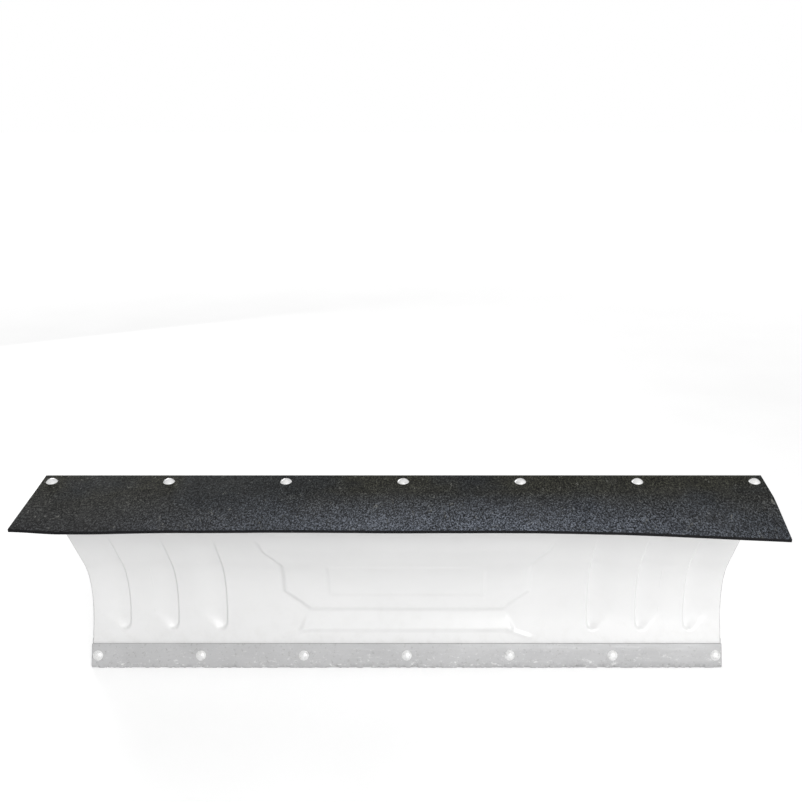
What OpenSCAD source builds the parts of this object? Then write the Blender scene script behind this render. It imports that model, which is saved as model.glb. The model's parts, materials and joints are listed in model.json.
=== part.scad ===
// Plow blade for an all-terrain vehicle: a curved pressed blade with a bolted wear bar and a rubber
// snow flap, two skid shoes, a spring trip hinge, and a swivel frame on a push-tube head.
// Millimetres. X runs along the blade, Y points back to the vehicle, Z points up.
// The origin is on the ground, in the middle of the wear bar's worn lower edge.

/* [Blade sheet] */
// Width of the blade
blade_w = 1372; // [1320:1:1524]
// Thickness of the blade sheet
sheet_t = 3; // [2.5:0.25:3.5]
// Backward lean of the lower straight part, degrees
lower_lean = 18; // [16:0.5:20]
// Length of the lower straight part, up the slope
lower_len = 96.5; // [94:0.5:100]
// Radius of the curved middle part, front face
curve_r = 160; // [156:1:164]
// Forward lean of the upper straight part, degrees
upper_lean = 39; // [37:0.5:41]
// Length of the upper straight part, up the slope
upper_len = 297; // [285:1:310]
// Gap between the ground and the sheet's lower edge, up the slope
sheet_start = 10; // [8:1:14]
// Inner radius of the bend between the sheet and its top flange
bend_r = 3; // [2.5:0.5:4]
// Width of the top flange
flange_w = 45; // [42:1:50]
// Backward rise of the top flange, degrees
flange_rise = 8; // [6:0.5:10]
// Depth of the end flanges, with the sheet
end_flange_d = 20; // [15:1:25]
// Height where the end flanges start, above the wear bar
end_flange_z = 56; // [54:1:70]

/* [Pressings] */
// Height of the pressed panel above the sheet, and depth of the flutes below it
press_h = 6; // [5:0.5:8]
// Inner edges of the flutes, from the middle of the blade
flute_x = [390, 496, 601];
// Width of a flute
flute_w = 34; // [28:1:40]
// Lower end of the flutes
flute_z0 = 75; // [70:1:85]
// Upper end of the flutes
flute_z1 = 270; // [255:1:272]
// Half length of the panel's bottom edge
panel_x0 = 210; // [190:1:230]
// Half width of the panel
panel_x1 = 270; // [255:1:280]
// Half width of the panel's flared top
panel_x2 = 300; // [290:1:320]
// Heights of the panel's corners, bottom to top
panel_z = [115, 162, 240, 285, 300];

/* [Wear bar] */
// Height of the wear bar, up the slope
bar_h = 51; // [48:1:56]
// Thickness of the wear bar
bar_t = 6.35; // [6:0.05:7]
// Spacing of the bolts in the wear bar and in the flap
bolt_pitch = 224; // [214:1:225]
// Leg of the bottom angle that lies on the sheet
angle_leg = 35; // [33:1:36]
// Leg of the bottom angle that points back
angle_back = 25; // [22:1:28]
// Thickness of the bottom angle
angle_t = 4; // [3:0.5:5]

/* [Snow flap] */
// Width of the flap
flap_w = 1384; // [1372:1:1400]
// Front to back length of the flap
flap_len = 203; // [190:1:220]
// Thickness of the flap
flap_t = 6.35; // [6:0.05:8]
// Distance from the flap's rear edge to its bolts
flap_bolt_back = 27; // [25:0.5:28]
// Distance in front of the bend's centre where the flap flexes
flex_u = 4; // [3.5:0.5:6]

/* [Back frame] */
// Outside size of the cross tube
tube_s = 30; // [28:1:30]
// Wall of the cross tube
tube_wall = 2.5; // [2:0.5:3]
// Half length of the cross tube
tube_half = 600; // [580:1:640]
// Middle of the cross tube, back from the origin and up
tube_at = [3, 290];
// Thickness of the ribs
rib_t = 6; // [5:0.5:6]
// Inner faces of the pivot ribs, from the middle
pivot_rib_x = [96, 124];
// Middle plane of the mid ribs
mid_rib_x = 330; // [325:1:335]
// Middle plane of the outer ribs
outer_rib_x = 553; // [540:1:560]

/* [Trip hinge] */
// Hinge axis, back from the origin and up
hinge_at = [115, 100];
// Diameter of the hinge pins
hinge_pin_d = 16; // [15:0.5:17]
// Radius of the rib and cheek lobes around the hinge
lobe_r = 26; // [24:1:27]
// Inner face of the swivel cheeks, from the middle
cheek_x = 108; // [107:0.5:109]
// Thickness of the cheeks
cheek_t = 10; // [8:1:11]
// Length of the hinge boss on each cheek
boss_len = 21; // [18:0.5:21.5]
// Length of the stop bumpers
bumper_len = 26.8; // [26:0.1:26.9]

/* [Trip springs] */
// Middle plane of each spring
spring_x = 160; // [158:1:166]
// Lower anchor, back from the origin and up
spring_low = [180, 115];
// Upper anchor, back from the origin and up
spring_high = [62, 290];
// Wire diameter of the spring
wire_d = 5; // [4.5:0.5:5]
// Mean diameter of the coil
coil_d = 25; // [24:1:28]
// Number of coils
coils = 29; // [26:1:29]
// Distance from the lower anchor to the first coil
coil_start = 26; // [24:1:28]

/* [Swivel] */
// King pin axis, back from the origin
king_y = 215; // [213:1:218]
// Diameter of the king pin
king_d = 25; // [22:1:26]
// Outside diameter of the head barrel
barrel_d = 50; // [46:1:52]
// Underside of the upper plate
upper_plate_z = 171; // [170:1:173]
// Underside of the lower plate
lower_plate_z = 88; // [86:1:90]
// Thickness of both plates
plate_t = 8; // [7:0.5:9]
// Outer radius of the index sector
sector_r = 118; // [114:1:119]
// Radius of the circle of index holes
index_r = 95; // [93:0.5:97]
// Angle between index holes, degrees
index_step = 12.5; // [12:0.5:13]

/* [Push-tube head] */
// Outside size of the arm's square tube
arm_s = 50; // [46:1:50]
// Wall of the arm's tube
arm_wall = 4; // [3:0.5:5]
// Front face of the mounting flange
head_flange_y = 360; // [352:1:370]
// Thickness of the mounting flange
head_flange_t = 10; // [8:1:12]
// Width and height of the mounting flange
head_flange_s = [160, 100];
// Spacing of the four mounting holes, across and up
mount_pitch = [120, 60];
// Diameter of the mounting holes
mount_hole_d = 13; // [12:0.5:14]

/* [Lock] */
// Diameter of the lock pin
lock_d = 16; // [15:0.5:16]
// Tip of the raised lock pin
lock_tip_z = 185; // [183:0.5:187]
// Underside of the lower and upper ears of the lock bracket
ear_z = [190, 240];
// Thickness of the ears and of the bracket's back
ear_t = 6; // [5:1:7]

/* [Skid shoes] */
// Middle of each dish, from the middle and back
skid_at = [337.1, 105];
// Diameter of the dish
dish_d = 110; // [100:1:114]
// Outer radius of the dish's curve
dish_r = 80; // [75:1:85]
// Width of the stem
stem_w = 50; // [46:1:54]
// Thickness of the stem
stem_t = 8; // [6:0.5:8]
// Top of the stem
stem_top = 192; // [186:1:200]
// Lower and upper ends of the stem's slot
slot_z = [68, 178];
// Width of the slot
slot_w = 13; // [12:0.5:14]
// Heights of the two clamp bolts
clamp_z = [110, 150];

/* [Fasteners] */
// Shank diameter of the carriage bolts
bolt_d = 9.525; // [9:0.025:10]
// Diameter of a carriage bolt's domed head
head_d = 22; // [20:0.5:23]
// Height of a carriage bolt's head
head_h = 5; // [4:0.5:5.5]
// Size across the flats of the nuts
nut_af = 14.3; // [14:0.1:15]
// Height of the nuts
nut_h = 8.2; // [7.5:0.1:9]

/* [Hidden] */
$fn = 48;

// Clearances
weld_gap = 0.05;
run_gap = 0.06;
neck_gap = 0.25;
cut = 1;

// Blade section: foot of the front face, centre of the curve, top of the front face, centre of the top bend
foot_y = bar_t * cos(lower_lean);
curve_y = foot_y + lower_len * sin(lower_lean) - curve_r * cos(lower_lean);
curve_z = lower_len * cos(lower_lean) + curve_r * sin(lower_lean);
curve_end_y = curve_y + curve_r * cos(upper_lean);
curve_end_z = curve_z + curve_r * sin(upper_lean);
bend_out = bend_r + sheet_t;
bend_y = curve_end_y - upper_len * sin(upper_lean) + bend_out * cos(upper_lean);
bend_z = curve_end_z + upper_len * cos(upper_lean) + bend_out * sin(upper_lean);

bolt_xs = [for (i = [-3:3]) i * bolt_pitch];
bolt_r = bolt_d / 2;
neck_s = bolt_d;
neck_h = 4.7;
nut_bore_r = bolt_r + 0.05;
washer_r = 10.4;
washer_t = 2;
flap_bolt_u = flange_w - flap_bolt_back;
flap_w0 = bend_out + weld_gap;
flap_w1 = flap_w0 + flap_t;

spring_run = spring_high - spring_low;
spring_len = norm(spring_run);
spring_tilt = atan2(spring_run[1], spring_run[0]) - 90;
hook_r = 8.7;
eye_r = 14;
eye_wire_r = 4;
coil_end = coil_start + coils * wire_d;

barrel_gap = 0.25;
thrust_t = 2;
barrel_z0 = lower_plate_z + plate_t + barrel_gap + thrust_t;
barrel_z1 = upper_plate_z - barrel_gap - thrust_t;
arm_z = (barrel_z0 + barrel_z1) / 2;
sector_half = 2 * index_step + 13;
lock_y = king_y + index_r;
lock_back_y = 338;
lock_collar_z = ear_z[1] - 20;
ring_r = 16;
ring_wire_r = 2.2;
ring_z = ear_z[1] + 32;

paint = "#eceded";
bare_steel = "#b9babc";
zinc = "#c9ccd0";
rubber_black = "#26282b";
frame_black = "#2f3134";

// ---------- helpers ----------

// Extrudes a drawing of the Y-Z plane along X, from x0 to x1
module along_x(x0, x1) {
    translate([x0, 0, 0]) rotate([90, 0, 90]) linear_extrude(x1 - x0) children();
}

// Extrudes an X-Z drawing through the whole depth of the blade
module through_blade() {
    rotate([90, 0, 0]) linear_extrude(500, center = true) children();
}

// Repeats its children on both sides, mirrored
module both_sides() {
    children();
    mirror([1, 0, 0]) children();
}

// Y-Z point near the lower straight part: u up the slope from the foot, d behind the front face
function low_point(u, d) =
    [foot_y, 0] + u * [sin(lower_lean), cos(lower_lean)] + d * [cos(lower_lean), -sin(lower_lean)];

// Y-Z point near the upper straight part: u up the slope from the end of the curve, d behind the front face
function high_point(u, d) =
    [curve_end_y, curve_end_z] + u * [-sin(upper_lean), cos(upper_lean)] + d * [cos(upper_lean), sin(upper_lean)];

// Y-Z drawing of everything ahead of a face that lies d behind the blade's front face
module ahead_of(d) {
    translate([curve_y, curve_z]) circle(curve_r + d);
    polygon([
        low_point(-60, d), low_point(lower_len, d), high_point(0, d), high_point(upper_len + 60, d),
        [-450, 600], [-450, -100]
    ]);
}

// Y-Z drawing of the blade section, between back behind and front ahead of the front face
module section(back, front) {
    intersection() {
        difference() {
            ahead_of(back);
            ahead_of(-front);
        }
        polygon([
            low_point(sheet_start, -120), low_point(sheet_start, 120), [300, 150],
            high_point(upper_len, 120), high_point(upper_len, -120)
        ]);
    }
}

// Y-Z drawing of everything behind a face that lies d behind the front face and under the top flange.
// over moves its lower and rear ends out, past those of the sheet.
module behind(d, over) {
    centre = [bend_y, bend_z];
    flange_up = [-sin(flange_rise), cos(flange_rise)];
    flange_back = [cos(flange_rise), sin(flange_rise)];
    difference() {
        union() {
            polygon([
                centre, centre + (bend_out - d) * flange_up,
                centre + (bend_out - d) * flange_up + (flange_w + over) * flange_back,
                low_point(sheet_start - over, 300 + 2 * over), low_point(sheet_start - over, -20),
                high_point(upper_len, -20)
            ]);
            translate(centre) circle(bend_out - d - 0.01);
        }
        ahead_of(d);
    }
}

// Triangle with its tip at the origin that covers the angles from a0 to a1
module wedge(a0, a1, r) {
    polygon([[0, 0], r * [cos(a0), sin(a0)], r * [cos(a1), sin(a1)]]);
}

// Places its children on the lower slope: Y is the depth behind the front face, Z runs up the slope
module on_slope(x = 0) {
    translate([x, foot_y, 0]) rotate([-lower_lean, 0, 0]) children();
}

// Places its children at the top flange: the origin is the bend's centre, Y runs back along the flange
module on_flange(x = 0) {
    translate([x, bend_y, bend_z]) rotate([flange_rise, 0, 0]) children();
}

// Domed square-neck bolt with its head's underside at the origin, pointing down
module carriage_bolt(len) {
    dome_r = (head_d * head_d / 4 + head_h * head_h) / (2 * head_h);
    intersection() {
        translate([0, 0, head_h - dome_r]) sphere(dome_r);
        cylinder(h = head_h + cut, r = head_d / 2);
    }
    translate([-neck_s / 2, -neck_s / 2, -neck_h]) cube([neck_s, neck_s, neck_h + cut]);
    translate([0, 0, -len]) cylinder(h = len, r = bolt_r);
}

// Flanged hexagon nut standing on the origin
module flange_nut() {
    difference() {
        union() {
            cylinder(h = 2, r = 10);
            cylinder(h = nut_h, r = nut_af / (2 * cos(30)), $fn = 6);
        }
        translate([0, 0, -cut]) cylinder(h = nut_h + 2 * cut, r = nut_bore_r);
    }
}

// Flat ring standing on the origin
module flat_ring(r, bore_r, t) {
    difference() {
        cylinder(h = t, r = r);
        translate([0, 0, -cut]) cylinder(h = t + 2 * cut, r = bore_r);
    }
}

// Square punched hole for a bolt's neck, centred on the origin, for walls thinner than the neck is wide
module neck_hole() {
    cube(neck_s + 2 * neck_gap, center = true);
}

// Points the Z axis outward along +X
module facing_x(at) {
    translate(at) rotate([0, 90, 0]) children();
}

// ---------- blade weldment ----------

// Front view outline of the pressed panel, drawn in by inset
module panel_outline(inset) {
    right = [
        [panel_x0 - 0.4 * inset, panel_z[0] + inset],
        [panel_x1 - inset, panel_z[1] + 0.4 * inset],
        [panel_x1 - inset, panel_z[2]],
        [panel_x2 - inset, panel_z[3]],
        [panel_x2 - inset, panel_z[4] - inset]
    ];
    left = [for (i = [4:-1:0]) [-right[i][0], right[i][1]]];
    polygon(concat(right, left));
}

// Front view outline of one flute with a rounded foot, drawn in by inset
module flute_outline(x, inset) {
    w = flute_w - 2 * inset;
    translate([x + inset, flute_z0 + flute_w / 2]) square([w, flute_z1 - flute_z0 - flute_w / 2 - inset]);
    translate([x + flute_w / 2, flute_z0 + flute_w / 2]) circle(w / 2);
}

// Front view outlines of all flutes
module flute_outlines(inset) {
    for (x = flute_x) {
        flute_outline(x, inset);
        mirror([1, 0]) flute_outline(x, inset);
    }
}

module moldboard() {
    half = blade_w / 2;
    color(paint) difference() {
        union() {
            along_x(-half, half) difference() {
                behind(0, 0);
                behind(sheet_t, 20);
            }
            intersection() {
                along_x(-half, half) section(sheet_t / 2, press_h);
                through_blade() panel_outline(0);
            }
            intersection() {
                along_x(-half, half) section(sheet_t + press_h, -sheet_t / 2);
                through_blade() flute_outlines(0);
            }
            both_sides() along_x(half - sheet_t, half) intersection() {
                section(end_flange_d, 0);
                translate([-300, end_flange_z]) square([600, bend_z - bend_out - 2 - end_flange_z]);
            }
        }
        intersection() {
            along_x(-half, half) section(sheet_t + cut, press_h - sheet_t);
            through_blade() panel_outline(sheet_t);
        }
        intersection() {
            along_x(-half, half) section(press_h, cut);
            through_blade() flute_outlines(sheet_t);
        }
        for (x = bolt_xs) {
            on_slope(x) translate([0, 0, bar_h / 2]) rotate([90, 0, 0])
                cylinder(h = 4 * sheet_t, r = 5.5, center = true);
            on_flange(x) translate([0, flap_bolt_u, bend_r - cut]) cylinder(h = sheet_t + 2 * cut, r = 5.5);
        }
    }
}

module bottom_angle() {
    half = blade_w / 2 - 2;
    color(paint) difference() {
        on_slope() translate([-half, sheet_t, sheet_start + 2]) {
            cube([2 * half, angle_t, angle_leg]);
            translate([0, 0, angle_leg - angle_t]) cube([2 * half, angle_back, angle_t]);
        }
        for (x = bolt_xs)
            on_slope(x) translate([0, sheet_t, bar_h / 2]) rotate([90, 0, 0])
                cylinder(h = 4 * angle_t, r = 5.5, center = true);
    }
}

module cross_tube() {
    inner = tube_s - 2 * tube_wall;
    color(paint) difference() {
        translate([0, tube_at[0], tube_at[1]]) difference() {
            cube([2 * tube_half, tube_s, tube_s], center = true);
            cube([2 * tube_half + cut, inner, inner], center = true);
        }
        for (x = [-spring_x, spring_x])
            translate([x, tube_at[0], tube_at[1]]) rotate([90, 0, 0])
                cylinder(h = 2 * tube_s, r = 5.2, center = true);
    }
}

module tube_plugs() {
    inner = tube_s - 2 * tube_wall - 0.2;
    color(rubber_black) both_sides() translate([tube_half, tube_at[0], tube_at[1]]) {
        translate([1.5, 0, 0]) cube([3, tube_s, tube_s], center = true);
        translate([-7, 0, 0]) cube([14, inner, inner], center = true);
    }
}

// Trims a rib drawing to the back of the sheet and opens it for the cross tube
module rib_profile() {
    s = tube_s + 2 * weld_gap;
    difference() {
        children();
        ahead_of(sheet_t + weld_gap);
        translate(tube_at - [s / 2, s / 2]) square(s);
    }
}

// Upper part that all ribs share, from the sheet to just behind the cross tube
function rib_top() = [[28, 268], [28, 318], [-60, 340]];

module pivot_ribs() {
    outline = concat([[10, 60], [96, 72], [hinge_at[0], 100], [hinge_at[0] + 25.5, 105], [122, 150]], rib_top());
    color(paint) both_sides() for (x = pivot_rib_x) difference() {
        along_x(x, x + rib_t) rib_profile() union() {
            polygon(outline);
            translate(hinge_at) circle(lobe_r);
        }
        facing_x([x - cut, hinge_at[0], hinge_at[1]])
            cylinder(h = rib_t + 2 * cut, r = hinge_pin_d / 2 + run_gap);
    }
}

module mid_ribs() {
    outline = concat([[10, 66], [124, 78], [134, 92], [134, 166], [124, 176], [84, 196]], rib_top());
    color(paint) both_sides() difference() {
        along_x(mid_rib_x - rib_t / 2, mid_rib_x + rib_t / 2) rib_profile() polygon(outline);
        for (z = clamp_z) translate([mid_rib_x, skid_at[1], z]) neck_hole();
    }
}

module outer_ribs() {
    outline = concat([[10, 60], [62, 68], [74, 80], [74, 160], [64, 190]], rib_top());
    color(paint) both_sides()
        along_x(outer_rib_x - rib_t / 2, outer_rib_x + rib_t / 2) rib_profile() polygon(outline);
}

// ---------- wear bar ----------

// Flat bar whose lower edge is worn level with the ground
module wear_bar() {
    below = 5;
    color(bare_steel) difference() {
        on_slope() translate([-blade_w / 2, -bar_t, -below]) cube([blade_w, bar_t - weld_gap, bar_h + below]);
        translate([-blade_w, -blade_w, -50]) cube([2 * blade_w, 2 * blade_w, 50]);
        for (x = bolt_xs) on_slope(x) translate([0, -bar_t / 2, bar_h / 2]) neck_hole();
    }
}

module wear_bar_bolts() {
    color(zinc) for (x = bolt_xs)
        on_slope(x) translate([0, -bar_t, bar_h / 2]) rotate([90, 0, 0]) carriage_bolt(30);
}

module wear_bar_nuts() {
    color(zinc) for (x = bolt_xs)
        on_slope(x) translate([0, sheet_t + angle_t, bar_h / 2]) rotate([-90, 0, 0]) flange_nut();
}

// ---------- snow flap ----------

module flap_margin() {
    color(rubber_black) on_flange() difference() {
        translate([-flap_w / 2, 3.5 - flex_u, flap_w0]) cube([flap_w, flange_w + flex_u - 3.5, flap_t]);
        for (x = bolt_xs) translate([x, flap_bolt_u, flap_w0 + flap_t / 2]) neck_hole();
    }
}

module flap_apron() {
    front = flap_len - flange_w;
    mid_w = flap_w0 + flap_t / 2;
    color(rubber_black) on_flange() {
        translate([-flap_w / 2, -front, flap_w0]) cube([flap_w, front - flex_u, flap_t]);
        facing_x([-flap_w / 2, -flex_u, mid_w]) cylinder(h = flap_w, r = flap_t / 2);
    }
}

module flap_bolts() {
    color(zinc) for (x = bolt_xs) on_flange(x) translate([0, flap_bolt_u, flap_w1]) carriage_bolt(25.4);
}

module flap_washers() {
    color(zinc) for (x = bolt_xs)
        on_flange(x) translate([0, flap_bolt_u, bend_r - washer_t]) flat_ring(washer_r, bolt_r + 0.4, washer_t);
}

module flap_nuts() {
    color(zinc) for (x = bolt_xs)
        on_flange(x) translate([0, flap_bolt_u, bend_r - washer_t]) rotate([180, 0, 0]) flange_nut();
}

// ---------- skid shoes ----------

// Dished foot of the right-hand shoe, with a small flat at its lowest point
module skid_dish_right() {
    centre_z = dish_r - 1.5;
    color(bare_steel) translate([skid_at[0], skid_at[1], 0]) intersection() {
        difference() {
            translate([0, 0, centre_z]) sphere(dish_r);
            translate([0, 0, centre_z]) sphere(dish_r - 5);
        }
        cylinder(h = 40, r = dish_d / 2);
    }
}

// Slotted flat bar of the right-hand shoe, its lower end shaped to the dish
module skid_stem_right() {
    centre_z = dish_r - 1.5;
    color(bare_steel) translate([skid_at[0], skid_at[1], 0]) difference() {
        translate([-stem_t / 2, -stem_w / 2, 0]) cube([stem_t, stem_w, stem_top]);
        difference() {
            translate([-stem_w, -stem_w, -cut]) cube([2 * stem_w, 2 * stem_w, 40]);
            translate([0, 0, centre_z]) sphere(dish_r - 5 - weld_gap);
        }
        for (z = [slot_z[0] + slot_w / 2, slot_z[1] - slot_w / 2])
            facing_x([-stem_t, 0, z]) cylinder(h = 2 * stem_t, r = slot_w / 2);
        translate([-stem_t, -slot_w / 2, slot_z[0] + slot_w / 2])
            cube([2 * stem_t, slot_w, slot_z[1] - slot_z[0] - slot_w]);
    }
}

module skid_dish_left() {
    mirror([1, 0, 0]) skid_dish_right();
}

module skid_stem_left() {
    mirror([1, 0, 0]) skid_stem_right();
}

module skid_clamp_bolts() {
    color(zinc) both_sides() for (z = clamp_z)
        translate([mid_rib_x - rib_t / 2, skid_at[1], z]) rotate([0, -90, 0]) carriage_bolt(31);
}

module skid_clamp_nuts() {
    x = skid_at[0] + stem_t / 2 + 0.1;
    color(zinc) both_sides() for (z = clamp_z) {
        facing_x([x, skid_at[1], z]) flat_ring(washer_r, nut_bore_r, washer_t + 0.5);
        facing_x([x + washer_t, skid_at[1], z]) flange_nut();
    }
}

// ---------- trip hinge ----------

module trip_pins() {
    x1 = pivot_rib_x[1] + rib_t + 0.3;
    color(zinc) both_sides() difference() {
        union() {
            facing_x([82, hinge_at[0], hinge_at[1]]) cylinder(h = x1 - 82 + cut, r = hinge_pin_d / 2);
            facing_x([x1, hinge_at[0], hinge_at[1]]) cylinder(h = 5, r = 12.5);
        }
        translate([88, hinge_at[0], hinge_at[1]]) cylinder(h = 40, r = 2.3, center = true);
    }
}

module trip_pin_clips() {
    color(zinc) both_sides() {
        facing_x([91.5, hinge_at[0], hinge_at[1]]) flat_ring(14, hinge_pin_d / 2 + 0.2, 3);
        translate([88, hinge_at[0], hinge_at[1]]) cylinder(h = 30, r = 2, center = true);
        translate([88, hinge_at[0], hinge_at[1] + 19]) rotate([0, 90, 0])
            rotate_extrude() translate([6, 0]) circle(2);
    }
}

module swivel_cheeks() {
    boss_x = cheek_x + cheek_t / 2 - boss_len / 2;
    outline = [
        [98, 84], [112, 78], [228, 78], [236, 86], [236, 176], [228, 186], [150, 200],
        [76, 305], [45, 305], [45, 262], [88, 140], [90, 104]
    ];
    color(frame_black) both_sides() difference() {
        union() {
            along_x(cheek_x, cheek_x + cheek_t) {
                polygon(outline);
                translate(hinge_at) circle(lobe_r - 1);
            }
            facing_x([boss_x, hinge_at[0], hinge_at[1]]) cylinder(h = boss_len, r = 15);
        }
        facing_x([boss_x - cut, hinge_at[0], hinge_at[1]])
            cylinder(h = boss_len + 2 * cut, r = hinge_pin_d / 2 + run_gap);
    }
}

module stop_crossbar() {
    inner = tube_s - 2 * tube_wall;
    color(frame_black) translate([0, 45 + tube_s / 2, tube_at[1]]) difference() {
        cube([2 * cheek_x, tube_s, tube_s], center = true);
        cube([2 * cheek_x + cut, inner, inner], center = true);
    }
}

module stop_bumpers() {
    color(rubber_black) for (x = [-60, 60])
        translate([x, 45, tube_at[1]]) rotate([90, 0, 0]) cylinder(h = bumper_len, r1 = 16, r2 = 14);
}

// ---------- trip springs ----------

// Places its children at the lower anchor of the right-hand spring, with Z along the spring
module on_spring() {
    translate([spring_x, spring_low[0], spring_low[1]]) rotate([spring_tilt, 0, 0]) children();
}

// Round wire loop in the plane of the hook, centred on the origin
module wire_loop(r, wire_r) {
    rotate([0, 90, 0]) rotate_extrude() translate([r, 0]) circle(wire_r);
}

module trip_spring_right() {
    wire_r = wire_d / 2;
    color(zinc) on_spring() {
        wire_loop(hook_r, wire_r);
        translate([0, 0, hook_r]) cylinder(h = coil_start - hook_r + wire_d, r = wire_r);
        rotate_extrude() {
            for (i = [0:coils - 1]) translate([coil_d / 2, coil_start + (i + 0.5) * wire_d]) circle(wire_r);
            translate([coil_d / 2 - 2, coil_start + wire_r]) square([4, (coils - 1) * wire_d]);
            translate([0, coil_start + wire_r]) square([coil_d / 2, 2]);
        }
    }
}

module spring_hook_right() {
    wire_r = wire_d / 2;
    shank_z = coil_end - 60;
    color(zinc) on_spring() {
        translate([0, 0, spring_len]) wire_loop(hook_r - 0.2, wire_r);
        translate([0, 0, shank_z]) cylinder(h = spring_len - hook_r - shank_z, r = wire_r);
        translate([0, 0, shank_z]) cylinder(h = 8, r = coil_d / 2 - 4.5);
    }
}

module trip_spring_left() {
    mirror([1, 0, 0]) trip_spring_right();
}

module spring_hook_left() {
    mirror([1, 0, 0]) spring_hook_right();
}

// Eye bolts through the cross tube; each eye's rear wire carries a spring hook
module spring_eye_bolts() {
    eye_y = spring_high[0] - eye_r;
    color(zinc) for (x = [-spring_x, spring_x]) translate([x, eye_y, spring_high[1]]) {
        rotate_extrude() translate([eye_r, 0]) circle(eye_wire_r);
        translate([0, -eye_r + eye_wire_r / 2, 0]) rotate([90, 0, 0]) cylinder(h = 56, r = 5);
    }
}

module spring_eye_nuts() {
    front_y = tube_at[0] - tube_s / 2;
    rear_y = tube_at[0] + tube_s / 2;
    color(zinc) for (x = [-spring_x, spring_x]) {
        translate([x, front_y, spring_high[1]]) rotate([90, 0, 0]) eye_nut();
        translate([x, rear_y, spring_high[1]]) rotate([-90, 0, 0]) eye_nut();
    }
}

// Plain hexagon nut of the eye bolts, standing on the origin
module eye_nut() {
    difference() {
        cylinder(h = 6, r = 8.5 / cos(30), $fn = 6);
        translate([0, 0, -cut]) cylinder(h = 6 + 2 * cut, r = 5.05);
    }
}

module spring_anchor_pins() {
    x0 = cheek_x + cheek_t;
    color(zinc) both_sides() difference() {
        union() {
            facing_x([x0, spring_low[0], spring_low[1]]) cylinder(h = 178 - x0, r = 6);
            facing_x([152, spring_low[0], spring_low[1]]) cylinder(h = 3, r = 10);
        }
        translate([173, spring_low[0], spring_low[1]]) cylinder(h = 30, r = 1.8, center = true);
    }
}

module anchor_pin_clips() {
    color(zinc) both_sides() {
        facing_x([165.5, spring_low[0], spring_low[1]]) flat_ring(10, 6.2, 3);
        translate([173, spring_low[0], spring_low[1]]) cylinder(h = 22, r = 1.5, center = true);
        translate([173, spring_low[0], spring_low[1] + 15]) rotate([0, 90, 0])
            rotate_extrude() translate([5, 0]) circle(1.5);
    }
}

// ---------- swivel plates ----------

// Plan outline that both plates share: a web between the cheeks and a round end at the king pin
module plate_outline() {
    translate([-cheek_x, 152]) square([2 * cheek_x, 74]);
    translate([0, king_y]) circle(42);
}

module sector_plate() {
    color(frame_black) translate([0, 0, upper_plate_z]) linear_extrude(plate_t) difference() {
        union() {
            plate_outline();
            translate([0, king_y]) intersection() {
                circle(sector_r);
                wedge(90 - sector_half, 90 + sector_half, 2 * sector_r);
            }
        }
        translate([0, king_y]) circle(king_d / 2 + run_gap);
        for (i = [-2:2]) translate([0, king_y]) rotate(i * index_step) translate([0, index_r]) circle(lock_d / 2 + 0.3);
    }
}

module lower_plate() {
    color(frame_black) translate([0, 0, lower_plate_z]) linear_extrude(plate_t) difference() {
        plate_outline();
        translate([0, king_y]) circle(king_d / 2 + run_gap);
    }
}

// ---------- push-tube head ----------

module head_barrel() {
    color(frame_black) translate([0, king_y, barrel_z0])
        flat_ring(barrel_d / 2, king_d / 2 + run_gap, barrel_z1 - barrel_z0);
}

module head_arm() {
    inner = arm_s - 2 * arm_wall;
    len = head_flange_y - king_y;
    color(frame_black) translate([0, king_y, arm_z]) difference() {
        translate([-arm_s / 2, 0, -arm_s / 2]) cube([arm_s, len, arm_s]);
        translate([-inner / 2, -cut, -inner / 2]) cube([inner, len + 2 * cut, inner]);
        cylinder(h = 2 * arm_s, r = barrel_d / 2 + weld_gap, center = true);
    }
}

module head_flange() {
    color(frame_black) translate([0, head_flange_y + head_flange_t / 2, arm_z]) difference() {
        cube([head_flange_s[0], head_flange_t, head_flange_s[1]], center = true);
        for (x = [-1, 1], z = [-1, 1])
            translate([x * mount_pitch[0] / 2, 0, z * mount_pitch[1] / 2]) rotate([90, 0, 0])
                cylinder(h = 2 * head_flange_t, r = mount_hole_d / 2, center = true);
    }
}

module head_gussets() {
    x0 = arm_s / 2;
    x1 = head_flange_s[0] / 2 - 6;
    outline = [[x0, head_flange_y - 80], [x0, head_flange_y], [x1, head_flange_y], [x1, head_flange_y - 10]];
    color(frame_black) both_sides() translate([0, 0, arm_z - 3]) linear_extrude(6) polygon(outline);
}

module king_pin() {
    color(zinc) translate([0, king_y, 0]) {
        translate([0, 0, 62]) cylinder(h = upper_plate_z + plate_t + 4.3 - 62, r = king_d / 2);
        translate([0, 0, upper_plate_z + plate_t + 3.3]) cylinder(h = 15, r = 19 / cos(30), $fn = 6);
    }
}

module king_washers() {
    bore = king_d / 2 + 0.2;
    color(zinc) translate([0, king_y, 0]) {
        translate([0, 0, upper_plate_z + plate_t + 0.3]) flat_ring(22, bore, 3);
        translate([0, 0, barrel_z1]) flat_ring(barrel_d / 2, bore, thrust_t);
        translate([0, 0, barrel_z0 - thrust_t]) flat_ring(barrel_d / 2, bore, thrust_t);
        translate([0, 0, lower_plate_z - 3.3]) flat_ring(22, bore, 3);
    }
}

module king_nut() {
    color(zinc) translate([0, king_y, lower_plate_z - 3.3 - 18]) difference() {
        cylinder(h = 18, r = 19 / cos(30), $fn = 6);
        translate([0, 0, -cut]) cylinder(h = 18 + 2 * cut, r = king_d / 2 + 0.05);
    }
}

// ---------- lock ----------

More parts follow.
